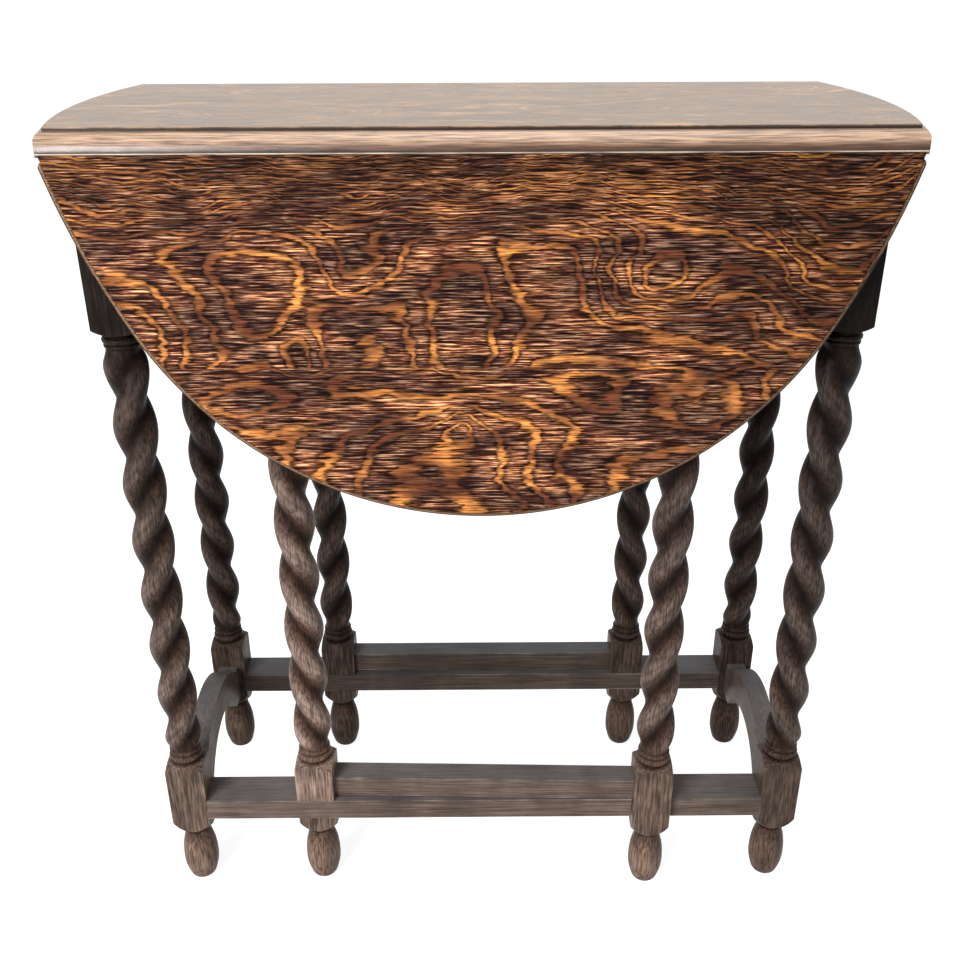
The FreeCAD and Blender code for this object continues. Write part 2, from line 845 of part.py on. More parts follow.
# Rails, feet and gate parts: each rear or right one is the other turned half way round
for near, far, shape in (
    ("front_apron", "rear_apron", front_apron()),
    ("left_apron", "right_apron", left_apron()),
    ("front_stretcher", "rear_stretcher", front_stretcher()),
    ("left_end_stretcher", "right_end_stretcher", left_end_stretcher()),
    ("front_pivot_foot", "rear_pivot_foot", front_pivot_foot()),
    ("front_top_hinge_flaps", "rear_top_hinge_flaps", pair_at_hinges(top_flap())),
    ("front_top_hinge_screws", "rear_top_hinge_screws", group_at_hinges(top_screw_places)),
    ("front_hinge_pins", "rear_hinge_pins", pair_at_hinges(hinge_pin())),
):
    nodes[near] = shape
    nodes[far] = half_turn(shape)

nodes["top_buttons"] = Part.makeCompound(at_buttons(button_body()))
nodes["top_button_screws"] = Part.makeCompound(button_screws(0))

inner_board, outer_board = leaf_boards()
for name, shape in (
    ("leaf_inner_board", inner_board),
    ("leaf_outer_board", outer_board),
    ("leaf_hinge_flaps", pair_at_hinges(leaf_flap())),
    ("leaf_hinge_screws", group_at_hinges(leaf_screw_places)),
    ("leaf_stop", leaf_stop()),
    ("leaf_stop_screws", Part.makeCompound(screws_at(leaf_stop_screw_places(), stop_screw_length, 0))),
):
    nodes["front_" + name] = hung(shape)
    nodes["rear_" + name] = half_turn(hung(shape))

for name, shape in (
    ("pivot_post", pivot_post()),
    ("swing_leg", swing_leg()),
    ("gate_lower_rail", gate_rail(*rail_heights[0])),
    ("gate_upper_rail", gate_rail(*rail_heights[1])),
    ("gate_pivot_pins", front_pivot_pins()),
):
    nodes["front_" + name] = ajar(shape)
    nodes["rear_" + name] = half_turn(shape)

os.makedirs("parts", exist_ok=True)
for name, shape in nodes.items():
    shape.exportStep("parts/" + name + ".step")
    state = "valid" if shape.isValid() else "not valid"
    print(name, len(shape.Solids), "solids", round(shape.Volume), "mm3", state)
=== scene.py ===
import math

import bpy
from mathutils import Matrix, Vector


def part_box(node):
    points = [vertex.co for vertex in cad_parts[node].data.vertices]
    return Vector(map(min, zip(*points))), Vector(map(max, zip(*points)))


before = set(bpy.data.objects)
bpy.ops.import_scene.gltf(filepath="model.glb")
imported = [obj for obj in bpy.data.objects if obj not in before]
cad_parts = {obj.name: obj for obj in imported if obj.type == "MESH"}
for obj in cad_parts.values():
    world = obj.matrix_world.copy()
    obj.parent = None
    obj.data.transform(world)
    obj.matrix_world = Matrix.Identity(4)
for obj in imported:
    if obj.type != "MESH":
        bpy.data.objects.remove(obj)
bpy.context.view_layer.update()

# The fixed centre of the top: two flat-sawn oak boards glued edge to edge, moulded along the long edges
# to an ovolo that the leaves turn under. Waxed and wiped, and coloured paler than the leaves, partly as painted
# sheen.
mm_per_metre = 1000.0


def linear(code):
    """An sRGB hex value as a linear colour."""
    parts = [int(code[i:i + 2], 16) / 255 for i in (1, 3, 5)]
    return [c / 12.92 if c < 0.04045 else ((c + 0.055) / 1.055) ** 2.4 for c in parts] + [1]


def fill(tree, made, links):
    """Gives each named input of a shader node a value, a node or a node's socket."""
    for name, value in links.items():
        if isinstance(value, bpy.types.Node):
            value = value.outputs[0]
        if isinstance(value, bpy.types.NodeSocket):
            tree.links.new(value, made.inputs[name])
        else:
            made.inputs[name].default_value = value


def lay(tree, kind, settings, links):
    """Adds one shader node with its settings and links."""
    made = tree.nodes.new("ShaderNode" + kind)
    for name, value in settings.items():
        if name == "stops":
            ramp = made.color_ramp
            while len(ramp.elements) < len(value):
                ramp.elements.new(0.5)
            for element, (place, colour) in zip(ramp.elements, value):
                element.position = place
                element.color = linear(colour)
        else:
            setattr(made, name, value)
    fill(tree, made, links)
    return made


def new_finish(name):
    """An empty material, its node tree and its shader."""
    finish = bpy.data.materials.new(name)
    finish.use_nodes = True
    return finish, finish.node_tree, finish.node_tree.nodes["Principled BSDF"]


def dress(node, finish):
    """Makes the finish the only material of a CAD node."""
    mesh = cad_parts[node].data
    mesh.materials.clear()
    mesh.materials.append(finish)


# Flat-sawn oak, stained and wax polished: the saw cuts the rings into contour lines and eyes. Late wood shows
# as bright lines, and the early wood between them is dark, with short pale dashes along its pores.
def figured_oak(name, turn, face, eyes, shade_and_dark_spots, seed, oak):
    finish, tree, shader = new_finish("flat_sawn_oak_waxed." + name)
    place = lay(tree, "TexCoord", {}, {}).outputs["Object"]
    # turned so that X is along the grain, Y across the board and Z out of the show face, in millimetres
    board = lay(tree, "Mapping", {"vector_type": "POINT"},
                {"Vector": place, "Rotation": turn, "Scale": (mm_per_metre,) * 3})
    # each board is cut from another place in the patterns
    moved = lay(tree, "VectorMath", {"operation": "ADD"}, {0: board, 1: seed * Vector((137, 71, 53))})
    # millimetres along the grain, across it and through the board, then the detail and roughness of the noise
    patterns = {
        # pores are 0.3 mm wide in the real wood; drawn in cells 1 mm wide so that they show as streaks
        "pore": ((22, 1, 22), 3.0, 0.62),
        # the rings bend, drift and waver
        "bend": ((44, 32, 44), 2.0, 0.5),
        "drift": ((130, 40, 130), 1.0, 0.4),
        "waver": ((18, 5, 18), 2.0, 0.5),
        # painted sheen of the polish, in patches a few centimetres across
        "glow": ((62, 24, 62), 3.0, 0.5),
        # thin dark lines run along the grain, and along the mouldings
        "line": ((30, 1.9, 30), 2.0, 0.6),
        "rib": ((30, 1.2, 1.2), 2.0, 0.6),
    }
    noise = {}
    for kind, (sizes, detail, roughness) in patterns.items():
        at = lay(tree, "VectorMath", {"operation": "MULTIPLY"}, {0: moved, 1: [1 / size for size in sizes]})
        noise[kind] = lay(tree, "TexNoise", {"noise_dimensions": "3D"},
                          {"Vector": at, "Scale": 1.0, "Detail": detail, "Roughness": roughness})

    def hill(where, x, y, wide, deep):
        """A smooth rise to 1 at x, y that falls off over wide and deep, in millimetres."""
        reach = lay(tree, "VectorMath", {"operation": "MULTIPLY_ADD"},
                    {0: where, 1: (1 / wide, 1 / deep, 0), 2: (-x / wide, -y / deep, 0)})
        square = lay(tree, "VectorMath", {"operation": "DOT_PRODUCT"}, {0: reach, 1: reach}).outputs["Value"]
        fall = lay(tree, "Math", {"operation": "MULTIPLY"}, {0: square, 1: -1.0})
        return lay(tree, "Math", {"operation": "EXPONENT"}, {0: fall})

    # the height of the surface, counted in rings; each eye is a hill with its own number of rings
    height = lay(tree, "Math", {"operation": "MULTIPLY"}, {0: noise["drift"], 1: 2.2})
    for kind, rings in (("waver", 0.5), ("pore", 0.5)):
        height = lay(tree, "Math", {"operation": "MULTIPLY_ADD"}, {0: noise[kind], 1: rings, 2: height})
    bend = lay(tree, "VectorMath", {"operation": "SUBTRACT"},
               {0: noise["bend"].outputs["Color"], 1: (0.5, 0.5, 0.5)})
    bent = lay(tree, "VectorMath", {"operation": "MULTIPLY_ADD"}, {0: bend, 1: (30, 22, 0), 2: board})
    for x, y, wide, deep, rings in eyes:
        height = lay(tree, "Math", {"operation": "MULTIPLY_ADD"},
                     {0: hill(bent, x, y, wide, deep), 1: rings, 2: height})
    ring = lay(tree, "Math", {"operation": "FRACT"}, {0: height})
    late = lay(tree, "ValToRGB",
               {"stops": [(0.64, "#000000"), (0.72, "#ffffff"), (0.86, "#ffffff"), (0.93, "#000000")]},
               {"Fac": ring})
    # the pores cut across the late wood too, so that its lines are made of short dashes
    dash = lay(tree, "MapRange", {},
               {"Value": noise["pore"], "From Min": 0.4, "From Max": 0.48, "To Min": 0.5, "To Max": 1.0})
    late = lay(tree, "Math", {"operation": "MULTIPLY"}, {0: late, 1: dash})
    early = lay(tree, "ValToRGB",
                {"stops": [(0.4, oak["dark"]), (0.49, oak["brown"]), (0.56, oak["tan"]), (0.62, oak["pale"])]},
                {"Fac": noise["pore"]})
    # the early wood is darkest where it meets the late wood
    beside = lay(tree, "ValToRGB",
                 {"stops": [(0.0, "#000000"), (0.16, "#ffffff"), (0.48, "#ffffff"), (0.64, "#000000")]},
                 {"Fac": ring})
    beside = lay(tree, "MapRange", {},
                 {"Value": beside, "From Min": 0.0, "From Max": 1.0, "To Min": oak["beside_late"], "To Max": 1.0})
    early = lay(tree, "VectorMath", {"operation": "SCALE"}, {0: early, "Scale": beside})
    # painted sheen: where the polish glows, the late wood turns from amber to gold and all the wood turns warmer
    # and brighter
    painted_sheen = lay(tree, "MapRange", {}, {"Value": noise["glow"], "From Min": 0.42, "From Max": 0.66})
    bright = lay(tree, "MixRGB", {}, {"Fac": painted_sheen, "Color1": linear(oak["amber"]), "Color2": linear(oak["gold"])})
    wood = lay(tree, "MixRGB", {}, {"Fac": late, "Color1": early, "Color2": bright})
    tint = lay(tree, "MixRGB", {}, {"Fac": painted_sheen, "Color1": oak["dull_tint"], "Color2": oak["sheen_tint"]})
    wood = lay(tree, "VectorMath", {"operation": "MULTIPLY"}, {0: wood, 1: tint})
    # the thin dark lines cross early and late wood alike
    line = lay(tree, "MapRange", {}, {"Value": noise["line"], "From Min": 0.4, "From Max": 0.62,
                                      "To Min": 1.15, "To Max": oak["dark_line"]})
    wood = lay(tree, "VectorMath", {"operation": "SCALE"}, {0: wood, "Scale": line})
    # painted shade along the hinge edge, under the top, and darker spots where they are listed
    for x, y, wide, deep, shade in shade_and_dark_spots:
        keep = lay(tree, "Math", {"operation": "MULTIPLY_ADD"},
                   {0: hill(board, x, y, wide, deep), 1: -shade, 2: 1.0})
        wood = lay(tree, "VectorMath", {"operation": "SCALE"}, {0: wood, "Scale": keep})
    # the moulded edge and the back lie below the show face and have their own colours, with painted light and
    # shade, by depth over 20 mm
    outward = lay(tree, "SeparateXYZ", {}, {"Vector": board}).outputs["Z"]
    below = lay(tree, "Math", {"operation": "SUBTRACT"}, {0: face, 1: outward})
    depth = lay(tree, "MapRange", {}, {"Value": below, "From Min": 0.0, "From Max": 20.0})
    edge = lay(tree, "ValToRGB", {"stops": oak["edge"]}, {"Fac": depth})
    streak = lay(tree, "MapRange", {},
                 {"Value": noise["rib"], "From Min": 0.36, "From Max": 0.64, "To Min": 0.45, "To Max": 1.35})
    edge = lay(tree, "VectorMath", {"operation": "SCALE"}, {0: edge, "Scale": streak})
    edge_here = lay(tree, "MapRange", {}, {"Value": below, "From Min": 0.4, "From Max": 1.0})
    wood = lay(tree, "MixRGB", {}, {"Fac": edge_here, "Color1": wood, "Color2": edge})
    # the wax fills the pores unevenly
    gloss = lay(tree, "MapRange", {}, {"Value": noise["pore"], "From Min": 0.35, "From Max": 0.65,
                                       "To Min": oak["roughness"], "To Max": oak["roughness"] + 0.14})
    relief = lay(tree, "Bump", {}, {"Strength": 0.3, "Distance": 0.0003, "Height": noise["pore"]})
    fill(tree, shader, {"Base Color": wood, "Roughness": gloss, "Normal": relief,
                        "IOR": 1.48, "Specular IOR Level": oak["specular"]})
    return finish


top_oak = {
    # early wood, from the bottom of a pore to its rim, then late wood
    "dark": "#543f2c", "brown": "#6e543b", "tan": "#866849", "pale": "#9e7c57",
    "amber": "#775a40", "gold": "#a57e55",
    "dull_tint": (1.0, 1.0, 1.0, 1), "sheen_tint": (1.32, 1.25, 1.1, 1),
    # how much of its brightness the wood keeps beside late wood and in a dark line
    "beside_late": 0.7, "dark_line": 0.86,
    "roughness": 0.22, "specular": 0.6,
    # painted shadow in the quirk, painted highlight on the upper half of the ovolo, painted shade on the lower
    # half, painted highlight on the lip, underside
    "edge": [(0.05, "#2a170e"), (0.11, "#2a170e"), (0.16, "#a58468"), (0.4, "#b0917a"), (0.6, "#62402c"),
             (0.765, "#2c1a11"), (0.775, "#c8b8a4"), (0.803, "#c8b8a4"), (0.815, "#6a4c38"), (0.897, "#63503f")],
}
lying = (0, 0, 0)
top_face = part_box("top_rear_board")[1].z * mm_per_metre
# an eye is its place along and across the board, its width and depth in millimetres, and its number of rings
top_front_eyes = [(-150, -60, 70, 30, 4), (90, -40, 60, 26, 3), (230, -80, 70, 24, 3)]
top_rear_eyes = [(-110, 70, 80, 34, 5), (60, 40, 60, 28, 4), (210, 90, 70, 30, 4)]
dress("top_front_board", figured_oak("top_front", lying, top_face, top_front_eyes, [], 1, top_oak))
dress("top_rear_board", figured_oak("top_rear", lying, top_face, top_rear_eyes, [], 2, top_oak))

# The drop leaves: two flat-sawn boards each, glued edge to edge, sawn to a half ellipse, with a hollow along
# the top that turns round the ovolo. Kept out of the sun, so the stain is still deep brown and orange.
leaf_oak = {
    "dark": "#190b0a", "brown": "#482a25", "tan": "#92634c", "pale": "#e6b48c",
    "amber": "#8f5438", "gold": "#c48a50",
    "dull_tint": (0.66, 0.64, 0.69, 1), "sheen_tint": (1.92, 1.6, 1.24, 1),
    "beside_late": 0.3, "dark_line": 0.42,
    "roughness": 0.42, "specular": 0.06,
    # painted shadow in the quirk, painted highlight on the arris of the thumb mould, dark edge, back
    "edge": [(0.05, "#1c0f09"), (0.12, "#1c0f09"), (0.15, "#9c7a5c"), (0.2, "#3a2216"),
             (0.885, "#2b1a11"), (0.897, "#4a3526")],
}
front_hung = (math.radians(-90), 0, 0)
rear_hung = (math.radians(90), 0, 0)
front_face = -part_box("front_leaf_outer_board")[0].y * mm_per_metre
rear_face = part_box("rear_leaf_outer_board")[1].y * mm_per_metre
front_inner_eyes = [(0, 722, 520, 48, 16), (-266, 556, 72, 92, 5), (-135, 556, 22, 46, 2), (-94, 630, 34, 30, 3),
                    (-15, 556, 42, 84, 3), (126, 623, 46, 34, 5), (262, 640, 84, 78, 7)]
front_outer_eyes = [(0, 562, 420, 12, 3), (-40, 452, 112, 84, 6), (-18, 507, 14, 16, 1.2),
                    (-200, 530, 70, 30, 3), (170, 520, 60, 34, 3)]
rear_inner_eyes = [(0, -722, 520, 48, 14), (-230, -556, 64, 80, 5), (-70, -620, 40, 32, 4),
                   (50, -556, 44, 80, 4), (190, -630, 60, 50, 8)]
rear_outer_eyes = [(0, -562, 420, 12, 3), (50, -452, 110, 84, 6), (-190, -520, 60, 34, 3)]
# painted shade along the hinge edge, and darker spots: each has its place, width and depth in millimetres, and how
# much of the light it takes
front_shade_and_dark_spot = [(0, 712, 600, 38, 0.55), (250, 640, 70, 80, 0.45)]
rear_painted_shade = [(0, -712, 600, 38, 0.55)]
dress("front_leaf_inner_board",
      figured_oak("front_inner", front_hung, front_face, front_inner_eyes, front_shade_and_dark_spot, 3, leaf_oak))
dress("front_leaf_outer_board",
      figured_oak("front_outer", front_hung, front_face, front_outer_eyes, [], 4, leaf_oak))
dress("rear_leaf_inner_board",
      figured_oak("rear_inner", rear_hung, rear_face, rear_inner_eyes, rear_painted_shade, 5, leaf_oak))
dress("rear_leaf_outer_board",
      figured_oak("rear_outer", rear_hung, rear_face, rear_outer_eyes, [], 6, leaf_oak))


# The turned members: corner legs, pivot posts with their feet, and swing legs. Each is one square of oak turned
# to a pear foot and carved to a two-start twist between its square blocks, then fumed nearly black.
# Fumed oak, carved by hand and waxed: soot, wax and painted shade darken the hollows, and rubbing and painted
# highlights lighten the ridges and the arrises. The feet are paler, and painted shade darkens the upper parts.
# Straight grain runs up the piece.
def fumed_oak_turned(node, axis, shade, seed):
    finish, tree, shader = new_finish("fumed_oak_turned." + node)
    place = lay(tree, "TexCoord", {}, {}).outputs["Object"]
    # millimetres from the axis of the turning and above the floor
    piece = lay(tree, "Mapping", {"vector_type": "POINT"},
                {"Vector": place, "Location": (-axis.x * mm_per_metre, -axis.y * mm_per_metre, 0),
                 "Scale": (mm_per_metre,) * 3})
    above = lay(tree, "SeparateXYZ", {}, {"Vector": piece}).outputs["Z"]
    flat = lay(tree, "VectorMath", {"operation": "MULTIPLY"}, {0: piece, 1: (1, 1, 0)})
    radius = lay(tree, "VectorMath", {"operation": "LENGTH"}, {0: flat}).outputs["Value"]
    moved = lay(tree, "VectorMath", {"operation": "ADD"}, {0: piece, 1: seed * Vector((61, 37, 97))})
    # painted shade and highlight, with dirt and rubbing: the deepest hollows, under 11 mm from the axis, are dark,
    # and the ridges at 17 mm are pale
    rise = lay(tree, "MapRange", {}, {"Value": radius, "From Min": 9.5, "From Max": 17.6})
    shade_and_rub_by_radius = lay(tree, "ValToRGB",
                 {"stops": [(0.0, "#0e0706"), (0.2, "#20140f"), (0.45, "#3f2e26"),
                            (0.75, "#5a483f"), (1.0, "#786760")]},
                 {"Fac": rise})
    # the faces of the square blocks start at 17.5 mm and keep their stain, apart from their arrises
    outside = lay(tree, "MapRange", {}, {"Value": radius, "From Min": 17.33, "From Max": 17.47})
    wood = lay(tree, "MixRGB", {}, {"Fac": outside, "Color1": shade_and_rub_by_radius, "Color2": linear("#65544a")})
    patch_at = lay(tree, "VectorMath", {"operation": "MULTIPLY"}, {0: moved, 1: (1 / 14, 1 / 14, 1 / 22)})
    patch = lay(tree, "TexNoise", {"noise_dimensions": "3D"},
                {"Vector": patch_at, "Scale": 1.0, "Detail": 4.0, "Roughness": 0.6})
    # the arrises of the blocks are paler: partly rubbing, partly a painted highlight
    apart = lay(tree, "VectorMath", {"operation": "ABSOLUTE"}, {0: piece})
    apart = lay(tree, "SeparateXYZ", {}, {"Vector": apart})
    corner = lay(tree, "Math", {"operation": "MINIMUM"}, {0: apart.outputs["X"], 1: apart.outputs["Y"]})
    arris = lay(tree, "Math", {"operation": "MULTIPLY_ADD"}, {0: patch, 1: 3.0, 2: corner})
    arris = lay(tree, "MapRange", {},
                {"Value": arris, "From Min": 16.8, "From Max": 18.8, "To Min": 0.0, "To Max": 0.7})
    wood = lay(tree, "MixRGB", {}, {"Fac": arris, "Color1": wood, "Color2": linear("#7c6a5d")})
    # the feet turn paler and browner from 70 mm down to 40 mm above the floor
    low = lay(tree, "MapRange", {},
              {"Value": above, "From Min": 70.0, "From Max": 40.0, "To Min": 0.0, "To Max": 0.75})
    wood = lay(tree, "MixRGB", {}, {"Fac": low, "Color1": wood, "Color2": linear("#80685a")})
    # painted shade: darker towards the top, under the table top, and darkest behind the leaves
    painted_shade_by_height = lay(tree, "MapRange", {},
               {"Value": above, "From Min": 120.0, "From Max": 580.0, "To Min": 1.1, "To Max": 0.35})
    wood = lay(tree, "VectorMath", {"operation": "SCALE"}, {0: wood, "Scale": painted_shade_by_height})
    # painted shadow of the top on the upper blocks
    painted_shadow_under_top = lay(tree, "MapRange", {},
               {"Value": above, "From Min": 540.0, "From Max": 575.0, "To Min": 1.0, "To Max": 0.3})
    wood = lay(tree, "VectorMath", {"operation": "SCALE"}, {0: wood, "Scale": painted_shadow_under_top})
    # patches of old polish a few centimetres across
    old = lay(tree, "MapRange", {},
              {"Value": patch, "From Min": 0.35, "From Max": 0.65, "To Min": 0.72, "To Max": 1.25})
    wood = lay(tree, "VectorMath", {"operation": "SCALE"}, {0: wood, "Scale": old})
    # grain lines are 0.5 mm wide in the real wood; drawn in cells 1.5 mm wide and 26 mm long so that they show
    grain_at = lay(tree, "VectorMath", {"operation": "MULTIPLY"}, {0: moved, 1: (1 / 1.5, 1 / 1.5, 1 / 26)})
    grain = lay(tree, "TexNoise", {"noise_dimensions": "3D"},
                {"Vector": grain_at, "Scale": 1.0, "Detail": 2.0, "Roughness": 0.6})
    line = lay(tree, "MapRange", {}, {"Value": grain, "From Min": 0.37, "From Max": 0.63,
                                      "To Min": 1.33 * shade, "To Max": 0.42 * shade})
    wood = lay(tree, "VectorMath", {"operation": "SCALE"}, {0: wood, "Scale": line})
    gloss = lay(tree, "MapRange", {},
                {"Value": patch, "From Min": 0.3, "From Max": 0.7, "To Min": 0.32, "To Max": 0.52})
    relief = lay(tree, "Bump", {"invert": True}, {"Strength": 0.3, "Distance": 0.0004, "Height": grain})
    fill(tree, shader, {"Base Color": wood, "Roughness": gloss, "Normal": relief,
                        "IOR": 1.48, "Specular IOR Level": 0.07 if shade > 0.6 else 0.05})
    return finish


turned = ["front_left_leg", "front_right_leg", "rear_left_leg", "rear_right_leg", "front_pivot_post",
          "rear_pivot_post", "front_pivot_foot", "rear_pivot_foot", "front_swing_leg", "rear_swing_leg"]
# painted shade: the rear ones are darkened for the shade under the table; of the front ones the pivot post is the
# palest and the right leg the darkest
shades = {"rear_left_leg": 0.4, "rear_right_leg": 0.38, "rear_pivot_post": 0.45, "rear_swing_leg": 0.45,
          "rear_pivot_foot": 0.6, "front_swing_leg": 1.06, "front_pivot_post": 1.9, "front_right_leg": 0.62}
for seed, node in enumerate(turned):
    low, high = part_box(node)
    dress(node, fumed_oak_turned(node, (low + high) / 2, shades.get(node, 1.0), seed))


# The rails: long stretchers, arched end stretchers, gate rails and the aprons behind the leaves, all planed oak
# tenoned into the blocks. The same fuming, with a grey bloom on the upper faces that is partly dust and wax and
# partly a painted reflection of the sky.
# Fumed oak, planed along the grain and waxed: long straight grain lines, and arrises paler in places, partly
# rubbed and partly a painted highlight.
def fumed_oak_planed(node, along, shade, seed):
    finish, tree, shader = new_finish("fumed_oak_planed." + node)
    # the front gate stands ajar by 1.58 degrees, so its rails are turned back to lie along X
    turn = math.radians(1.58) if node.startswith("front_gate") else 0.0
    coordinates = lay(tree, "TexCoord", {}, {})
    piece = lay(tree, "Mapping", {"vector_type": "POINT"},
                {"Vector": coordinates.outputs["Object"], "Rotation": (0, 0, turn), "Scale": (mm_per_metre,) * 3})
    moved = lay(tree, "VectorMath", {"operation": "ADD"}, {0: piece, 1: seed * Vector((83, 29, 47))})
    # grain lines are 0.5 mm wide in the real wood; drawn in cells 1.4 mm wide and 60 mm long so that they show
    fine, long = 1 / 1.4, 1 / 60
    grain_at = lay(tree, "VectorMath", {"operation": "MULTIPLY"},
                   {0: moved, 1: (long, fine, fine) if along == "x" else (fine, long, fine)})
    grain = lay(tree, "TexNoise", {"noise_dimensions": "3D"},
                {"Vector": grain_at, "Scale": 1.0, "Detail": 3.0, "Roughness": 0.65})
    wood = lay(tree, "ValToRGB", {"stops": [(0.3, "#85746b"), (0.5, "#6a5a51"), (0.72, "#43352d")]}, {"Fac": grain})
    # patches of old polish some 45 mm across
    patch_at = lay(tree, "VectorMath", {"operation": "SCALE"}, {0: moved, "Scale": 1 / 45})
    patch = lay(tree, "TexNoise", {"noise_dimensions": "3D"},
                {"Vector": patch_at, "Scale": 1.0, "Detail": 4.0, "Roughness": 0.6})
    old = lay(tree, "MapRange", {}, {"Value": patch, "From Min": 0.35, "From Max": 0.65,
                                     "To Min": 0.66 * shade, "To Max": 1.1 * shade})
    wood = lay(tree, "VectorMath", {"operation": "SCALE"}, {0: wood, "Scale": old})
    # the straight rails are paler within a millimetre or two of their long arrises, partly rubbing and partly a
    # painted highlight, dimmed by the painted shade of each rail
    if along == "x":
        back = Matrix.Rotation(turn, 3, "Z")
        points = [back @ vertex.co * mm_per_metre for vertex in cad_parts[node].data.vertices]
        least, most = (Vector([pick(point[i] for point in points) for i in range(3)]) for pick in (min, max))
        apart = lay(tree, "VectorMath", {"operation": "SUBTRACT"}, {0: piece, 1: (least + most) / 2})
        apart = lay(tree, "VectorMath", {"operation": "ABSOLUTE"}, {0: apart})
        apart = lay(tree, "VectorMath", {"operation": "SUBTRACT"}, {0: apart, 1: (most - least) / 2})
        apart = lay(tree, "SeparateXYZ", {}, {"Vector": apart})
        arris = lay(tree, "Math", {"operation": "ADD"}, {0: apart.outputs["Y"], 1: apart.outputs["Z"]})
        arris = lay(tree, "Math", {"operation": "MULTIPLY_ADD"}, {0: patch, 1: 5.0, 2: arris})
        arris = lay(tree, "MapRange", {}, {"Value": arris, "From Min": 1.8, "From Max": 3.0,
                                           "To Min": 0.0, "To Max": 0.75 * shade})
        wood = lay(tree, "MixRGB", {}, {"Fac": arris, "Color1": wood, "Color2": linear("#a89e93")})
    # dust and wax, and a painted grey-blue reflection of the sky, on what faces up
    up = lay(tree, "SeparateXYZ", {}, {"Vector": coordinates.outputs["Normal"]}).outputs["Z"]
    dust_and_sky_sheen = lay(tree, "Math", {"operation": "MULTIPLY_ADD"}, {0: patch, 1: 0.5, 2: up})
    dust_and_sky_sheen = lay(tree, "MapRange", {},
               {"Value": dust_and_sky_sheen, "From Min": 0.75, "From Max": 1.5, "To Min": 0.0, "To Max": 0.5})
    wood = lay(tree, "MixRGB", {}, {"Fac": dust_and_sky_sheen, "Color1": wood, "Color2": linear("#74797e")})
    gloss = lay(tree, "MapRange", {},
                {"Value": patch, "From Min": 0.3, "From Max": 0.7, "To Min": 0.36, "To Max": 0.58})
    relief = lay(tree, "Bump", {"invert": True}, {"Strength": 0.3, "Distance": 0.0004, "Height": grain})
    fill(tree, shader, {"Base Color": wood, "Roughness": gloss, "Normal": relief,
                        "IOR": 1.48, "Specular IOR Level": 0.12})
    return finish


rails = {"front_stretcher": "x", "rear_stretcher": "x", "left_end_stretcher": "y", "right_end_stretcher": "y",
         "front_gate_lower_rail": "x", "rear_gate_lower_rail": "x", "front_gate_upper_rail": "x",
         "rear_gate_upper_rail": "x", "front_apron": "x", "rear_apron": "x", "left_apron": "y", "right_apron": "y"}
for seed, (node, along) in enumerate(rails.items()):
    # painted shade: what is closed in under the top is darkest, then the rear and the ends
    if "apron" in node or "upper" in node:
        shade = 0.3
    elif node.startswith("rear"):
        shade = 0.5
    elif "end" in node:
        shade = 0.7
    else:
        shade = 1.0
    dress(node, fumed_oak_planed(node, along, shade, seed))


# Buttons that hold the top to the aprons and the stops that the gates meet: offcuts of plain oak, sawn and left
# unstained under the table, screwed to the boards.
# Sawn oak without polish: pale and dry, with short grain lines, drawn in cells 1.2 mm wide so that they show.
finish, tree, shader = new_finish("oak_sawn_bare")
place = lay(tree, "TexCoord", {}, {}).outputs["Object"]
piece = lay(tree, "VectorMath", {"operation": "SCALE"}, {0: place, "Scale": mm_per_metre})
grain_at = lay(tree, "VectorMath", {"operation": "MULTIPLY"}, {0: piece, 1: (1 / 18, 1 / 1.2, 1 / 1.2)})
grain = lay(tree, "TexNoise", {"noise_dimensions": "3D"}, {"Vector": grain_at, "Scale": 1.0, "Detail": 3.0})
wood = lay(tree, "ValToRGB", {"stops": [(0.32, "#a98a63"), (0.55, "#8a6c4a"), (0.75, "#5d4630")]}, {"Fac": grain})
relief = lay(tree, "Bump", {}, {"Strength": 0.4, "Distance": 0.0003, "Height": grain})
fill(tree, shader, {"Base Color": wood, "Normal": relief, "Roughness": 0.75})
for node in ("top_buttons", "front_leaf_stop", "rear_leaf_stop"):
    dress(node, finish)


# Hinges, pins and screws: cut steel flaps with rolled knuckles let into the undersides, gone brown with age.
# Mild steel, rolled and rust browned: dull metal with soft patches of brown rust some 5 mm across.
def browned_steel(name, bright, rust, smooth):
    finish, tree, shader = new_finish("mild_steel_browned." + name)
    place = lay(tree, "TexCoord", {}, {}).outputs["Object"]
    piece = lay(tree, "VectorMath", {"operation": "SCALE"}, {0: place, "Scale": mm_per_metre})
    spots = lay(tree, "TexNoise", {"noise_dimensions": "3D"},
                {"Vector": piece, "Scale": 1 / 5, "Detail": 5.0, "Roughness": 0.7})
    metal = lay(tree, "ValToRGB", {"stops": [(0.38, bright), (0.6, rust)]}, {"Fac": spots})
    gloss = lay(tree, "MapRange", {},
                {"Value": spots, "From Min": 0.35, "From Max": 0.65, "To Min": smooth, "To Max": 0.8})
    relief = lay(tree, "Bump", {}, {"Strength": 0.3, "Distance": 0.0002, "Height": spots})
    fill(tree, shader, {"Base Color": metal, "Roughness": gloss, "Normal": relief, "Metallic": 0.85})
    return finish


hinge_steel = browned_steel("hinge", "#6d665f", "#4a3325", 0.42)
screw_steel = browned_steel("screw", "#85807a", "#54402f", 0.34)
for side in ("front", "rear"):
    for node in ("top_hinge_flaps", "leaf_hinge_flaps"):
        dress(side + "_" + node, hinge_steel)
    for node in ("hinge_pins", "gate_pivot_pins", "top_hinge_screws", "leaf_hinge_screws", "leaf_stop_screws"):
        dress(side + "_" + node, screw_steel)
dress("top_button_screws", screw_steel)


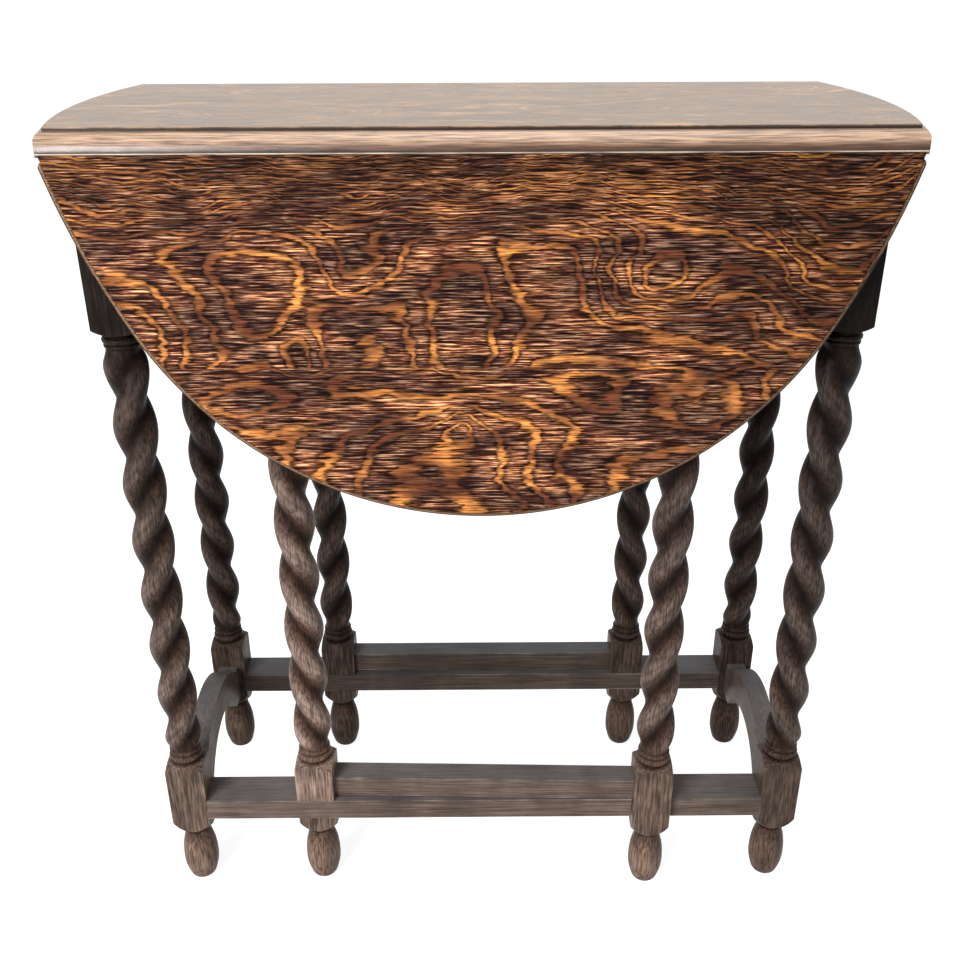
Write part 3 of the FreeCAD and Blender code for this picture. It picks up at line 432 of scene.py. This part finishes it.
# The floor: one large white sheet, matt, that shows the soft shadow under the table.
# Painted paper, matt: even white with a faint grit, 0.1 mm in the real sheet and drawn 2 mm wide so that it shows.
finish, tree, shader = new_finish("white_paper_matt")
place = lay(tree, "TexCoord", {}, {}).outputs["Object"]
grit = lay(tree, "TexNoise", {"noise_dimensions": "3D"},
           {"Vector": place, "Scale": mm_per_metre / 2, "Detail": 2.0})
paper = lay(tree, "ValToRGB", {"stops": [(0.3, "#b4b4b4"), (0.7, "#bcbcbc")]}, {"Fac": grit})
# lit up as a studio floor is, for the eye and for reflections, but without lighting the table
ray = lay(tree, "LightPath", {}, {})
seen = lay(tree, "Math", {"operation": "MAXIMUM"},
           {0: ray.outputs["Is Camera Ray"], 1: ray.outputs["Is Glossy Ray"]})
seen = lay(tree, "Math", {"operation": "MAXIMUM"}, {0: seen, 1: ray.outputs["Is Transmission Ray"]})
lift = lay(tree, "Math", {"operation": "MULTIPLY"}, {0: seen, 1: 0.85})
fill(tree, shader, {"Base Color": paper, "Roughness": 1.0, "Specular IOR Level": 0.0,
                    "Emission Color": (1, 1, 1, 1), "Emission Strength": lift})
bpy.ops.mesh.primitive_grid_add(x_subdivisions=8, y_subdivisions=8, size=60)
floor = bpy.context.object
floor.name = "floor"
floor.data.materials.append(finish)

# Light: a white room, dimmer on the table than it looks, a weak soft box overhead and a stronger one to the
# front left.
world = bpy.data.worlds.new("white_room")
bpy.context.scene.world = world
world.use_nodes = True
tree = world.node_tree
ray = lay(tree, "LightPath", {}, {})
seen = lay(tree, "Math", {"operation": "MAXIMUM"},
           {0: ray.outputs["Is Camera Ray"], 1: ray.outputs["Is Transmission Ray"]})
seen = lay(tree, "Math", {"operation": "MAXIMUM"}, {0: seen, 1: ray.outputs["Is Glossy Ray"]})
strength = lay(tree, "MapRange", {},
               {"Value": seen, "From Min": 0.0, "From Max": 1.0, "To Min": 0.4, "To Max": 1.0})
fill(tree, tree.nodes["Background"], {"Color": (1, 1, 1, 1), "Strength": strength})
middle_of_table = Vector((0, 0, 0.4))
soft_boxes = (("overhead", (0.1, 0.1, 2.2), 1.3, 17), ("front_left", (-1.4, -2.2, 1.6), 1.2, 84))
for name, place, wide, watts in soft_boxes:
    lamp = bpy.data.lights.new(name, "AREA")
    lamp.size = wide
    lamp.energy = watts
    box = bpy.data.objects.new(name, lamp)
    box.location = place
    box.rotation_euler = (middle_of_table - box.location).to_track_quat("-Z", "Y").to_euler()
    bpy.context.scene.collection.objects.link(box)

# Camera: an eye a little under a metre in front of the middle of the table and 84 cm above the floor, looking down
# some 26 degrees. Its place was solved from the corners of the top and the feet.
eye = Vector((-0.00557, -0.91346, 0.83868))
yaw, pitch, roll = 0.0038, 0.4584, -0.0037
focal_length, picture_width = 1089.05, 960  # in pixels
ahead = Vector((math.sin(yaw) * math.cos(pitch), math.cos(yaw) * math.cos(pitch), -math.sin(pitch)))
right = Vector((math.cos(yaw), -math.sin(yaw), 0))
down = ahead.cross(right)
right, down = math.cos(roll) * right - math.sin(roll) * down, math.sin(roll) * right + math.cos(roll) * down
camera = bpy.data.objects.new("camera", bpy.data.cameras.new("camera"))
camera.data.sensor_width = 36
camera.data.lens = camera.data.sensor_width * focal_length / picture_width
camera.matrix_world = Matrix((
    (right.x, -down.x, -ahead.x, eye.x),
    (right.y, -down.y, -ahead.y, eye.y),
    (right.z, -down.z, -ahead.z, eye.z),
    (0, 0, 0, 1)))
bpy.context.scene.collection.objects.link(camera)
bpy.context.scene.camera = camera
bpy.context.scene.view_settings.view_transform = "Standard"
